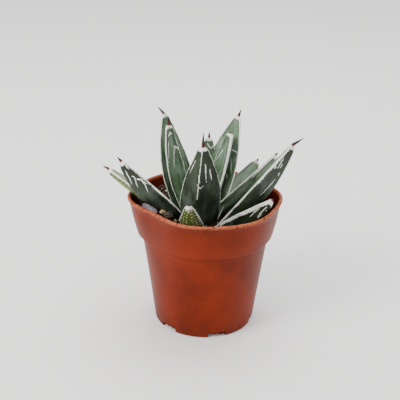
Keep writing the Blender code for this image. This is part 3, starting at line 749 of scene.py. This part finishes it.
# white imprints that the leaves left on each other in the bud, and warts on the youngest
# path: distances from the tip with the turn round the leaf's section, 90 on its face and 270 on its keel
# wide: half its width; lanes: turns at which a row of warts runs from one distance to another
imprints = [
    {"leaf": "leaf_13", "path": ((12.5, 105), (13.5, 130), (16, 168)), "wide": 0.55},
    {"leaf": "leaf_13", "path": ((13, 118), (16, 100), (25, 76)), "wide": 0.28},
    {"leaf": "leaf_13", "path": ((9, 60), (14, 52), (18.8, 45)), "wide": 0.26},
    {"leaf": "leaf_13", "path": ((19.6, 38), (20.2, 36)), "wide": 0.3},
    {"leaf": "leaf_13", "path": ((6, 62), (4.2, 90), (5.5, 118)), "wide": 0.5},
    {"leaf": "leaf_10", "path": ((8.4, 295), (13, 296), (17.6, 295)), "wide": 0.42},
    {"leaf": "leaf_10", "path": ((18.2, 295), (18.9, 295)), "wide": 0.34},
    {"leaf": "leaf_10", "path": ((12.2, 313), (16, 314), (19.3, 315)), "wide": 0.4},
    {"leaf": "leaf_10", "path": ((13.8, 266), (18.2, 275)), "wide": 0.3},
    {"leaf": "leaf_10", "path": ((6.7, 230), (14.9, 220)), "wide": 0.22},
    {"leaf": "leaf_10", "path": ((18.7, 265), (21.5, 275), (20.3, 287)), "wide": 0.2},
    {"leaf": "leaf_06", "path": ((4.6, 297), (9, 292), (13.5, 285)), "wide": 0.36},
    {"leaf": "leaf_06", "path": ((9, 306), (9.8, 314), (16.3, 295)), "wide": 0.4},
    {"leaf": "leaf_06", "path": ((11.8, 316), (13.5, 334), (21.8, 310)), "wide": 0.5},
    {"leaf": "leaf_06", "path": ((14, 327), (17.4, 340)), "wide": 0.38},
    {"leaf": "leaf_06", "path": ((2.4, 332), (5, 325)), "wide": 0.34},
    {"leaf": "leaf_12", "path": ((18.7, 110), (19.2, 155)), "wide": 0.36},
    {"leaf": "leaf_12", "path": ((23.8, 120), (28, 130), (31.8, 140)), "wide": 0.3},
    {"leaf": "leaf_12", "path": ((30, 110), (34.6, 125)), "wide": 0.26},
    {"leaf": "leaf_14", "path": ((9.9, 75), (14.6, 56), (18.4, 32)), "wide": 0.34},
    {"leaf": "leaf_08", "path": ((3.2, 76), (6.2, 115), (3.4, 160)), "wide": 0.34},
    {"leaf": "leaf_05", "path": ((12.8, 110), (18.9, 100), (23.7, 95)), "wide": 0.3},
    {"leaf": "leaf_09", "path": ((9.7, 200), (17.9, 210)), "wide": 0.3},
    {"leaf": "leaf_09", "path": ((6.4, 190), (13.6, 212)), "wide": 0.3},
    {"leaf": "leaf_07", "path": ((7.6, 221), (11, 225), (14.2, 230)), "wide": 0.4},
    {"leaf": "leaf_07", "path": ((12.7, 211), (14.9, 215)), "wide": 0.42},
    {"leaf": "leaf_07", "path": ((10.6, 236), (13.5, 240)), "wide": 0.28},
    {"leaf": "leaf_07", "path": ((15.7, 250), (17.8, 250)), "wide": 0.28},
    {"leaf": "leaf_07", "path": ((20, 250), (26, 246), (32.4, 240)), "wide": 0.22},
    {"leaf": "leaf_04", "path": ((7.1, 221), (14.1, 230)), "wide": 0.34},
    {"leaf": "leaf_04", "path": ((3.6, 240), (11, 245)), "wide": 0.36},
    {"leaf": "leaf_04", "path": ((4.9, 255), (5.6, 255)), "wide": 0.32},
    {"leaf": "leaf_04", "path": ((8, 250), (11.9, 252)), "wide": 0.26},
    {"leaf": "leaf_02", "path": ((8, 295), (17, 292)), "wide": 0.34},
    {"leaf": "leaf_05", "path": ((6, 300), (14, 290)), "wide": 0.34},
    {"leaf": "leaf_12", "path": ((8, 250), (20, 256)), "wide": 0.36},
    {"leaf": "leaf_12", "path": ((14, 292), (26, 288)), "wide": 0.32},
    {"leaf": "leaf_11", "path": ((7, 290), (18, 284)), "wide": 0.36},
    {"leaf": "leaf_11", "path": ((13, 240), (24, 250)), "wide": 0.3},
]
chalks = {"imprint": ("b9bdb0", "eef0ea"), "wart": ("b4b07a", "dfdcae")}
warts = {
    "leaf_01": {"lanes": (212, 232, 252, 288, 308, 328), "from": 2.4, "to": 15, "pitch": 1.7, "size": 0.32},
    "leaf_03": {"lanes": (300, 318, 336), "from": 4, "to": 16, "pitch": 2.6, "size": 0.24},
}


def onLeaf(shape, gap, turn):
    # place and outward normal where a distance from the tip meets a turn round the section
    rings, tipGaps = shape
    around = rings.shape[1]
    row = np.interp(-np.asarray(gap, float), -tipGaps, np.arange(len(rings)))
    column = np.asarray(turn, float) / 360 * around

    def at(r, c):
        r = np.clip(r, 0, len(rings) - 1.001)
        i, j, u, w = r.astype(int), np.floor(c).astype(int), (r % 1)[:, None], (c % 1)[:, None]
        a, b = j % around, (j + 1) % around
        return ((rings[i, a] * (1 - w) + rings[i, b] * w) * (1 - u)
                + (rings[i + 1, a] * (1 - w) + rings[i + 1, b] * w) * u)
    along = at(row + 0.5, column) - at(row - 0.5, column)
    normal = np.cross(along, at(row, column + 0.5) - at(row, column - 0.5))
    normal /= np.linalg.norm(normal, axis=1)[:, None]
    middle = rings[np.clip(row, 0, len(rings) - 1).astype(int)].mean(1)
    spot = at(row, column)
    return spot, normal * np.sign(((spot - middle) * normal).sum(1))[:, None]


def makeImprints(table, shapes):
    # each is a low ridge along its path, thin at both ends, with its lower half inside the leaf
    parts = []
    for k, v in enumerate(table):
        ends = np.linspace(0, 1, len(v["path"]))
        s = np.linspace(0, 1, 22)
        gap, turn = (np.interp(s, ends, [p[i] for p in v["path"]]) for i in (0, 1))
        turn = turn + 1.2 * softNoise(gap * 0.8, 0 * gap + k, 0 * gap)
        spot, normal = onLeaf(shapes[v["leaf"]], gap, turn)
        forward = np.gradient(spot, axis=0)
        side = np.cross(normal, forward)
        side /= np.linalg.norm(side, axis=1)[:, None]
        wide = v["wide"] * np.sin(np.pi * (0.06 + 0.9 * s)) ** 0.6 * (1.05 - 0.4 * s)
        wide = wide * (1 + 0.3 * softNoise(gap * 1.4, 0 * gap + k, 0 * gap + 4))
        a = np.linspace(0, 2 * np.pi, 10, endpoint=False)[None, :, None]
        rings = (spot[:, None] + side[:, None] * np.cos(a) * wide[:, None, None]
                 + normal[:, None] * np.sin(a) * (0.05 + 0.3 * wide)[:, None, None])
        parts.append(ringsToSolid(rings * mm))
    points, faces = joined(parts)
    finePiece(meshPiece("imprints", points, faces, chalkFinish("imprintChalk", *chalks["imprint"])), "leaf")


def makeWarts(table, shapes):
    # flattened beads in rows along the leaf, half sunk in it
    parts = []
    ball, ballFaces = unitBall(7, 10)
    for name, v in table.items():
        for lane in v["lanes"]:
            gap = np.arange(v["from"], v["to"], v["pitch"])
            gap = gap + 0.35 * softNoise(gap * 3, 0 * gap + lane, 0 * gap)
            turn = lane + 4 * softNoise(gap * 2, 0 * gap + lane, 0 * gap + 8)
            for spot, normal in zip(*onLeaf(shapes[name], gap, turn)):
                lump = ball * v["size"] - np.outer(ball @ normal, normal) * v["size"] * 0.45
                parts.append(((lump + spot) * mm, ballFaces))
    points, faces = joined(parts)
    finePiece(meshPiece("warts", points, faces, chalkFinish("wartChalk", *chalks["wart"])), "leaf")


makeImprints(imprints, leafRings)
makeWarts(warts, leafRings)
print("imprints and warts laid:", len(imprints))

# bud: the unopened cone of youngest leaves, wound round by three leaf edges
bud = {"foot": 72.3, "tip": 98.5, "radius": 4.2, "crown": (-4.5, 0.0), "edges": 3, "wind": 2.6}


def makeBud(v):
    # radius: swells to a quarter of its length, thins to a point, and is raised in saw waves at the edges
    t = np.linspace(0, 1, 70)[:, None]
    a = np.linspace(0, 2 * np.pi, 72, endpoint=False)[None]
    body = np.where(t < 0.25, 0.78 + 0.9 * t, 1.05 - 0.82 * (np.clip(t, 0.25, 1) - 0.25) / 0.75)
    body = body * np.sqrt(np.clip((1 - t) / 0.12, 0, 1))
    saw = (v["edges"] * a - v["wind"] * t) / (2 * np.pi) % 1
    radius = v["radius"] * body * (0.94 + 0.11 * saw ** 3)
    rings = np.stack([v["crown"][0] + radius * np.cos(a), v["crown"][1] + radius * np.sin(a),
                      v["foot"] + (v["tip"] - v["foot"]) * t + 0 * a], -1)
    values = {"edgeGap": (1 - saw) * 8 + 0 * a, "marginWide": 0.6 + 0 * saw, "keelGap": 60 + 0 * saw,
              "tipGap": (1 - t) * 26 + 1 + 0 * a, "upSide": 1 + 0 * saw, "acrossAt": a * 4 + 0 * t,
              "alongAt": t * 26 + 0 * a}
    points, faces = ringsToSolid(rings * mm)
    ends = {key: np.concatenate([x.ravel(), [x[0].mean(), x[-1].mean()]]) for key, x in values.items()}
    piece = meshPiece("budCone", points, faces, bpy.data.materials["leafSkinPale"], values=ends)
    finePiece(piece, "leaf", "bud")


makeBud(bud)
print("bud wound")
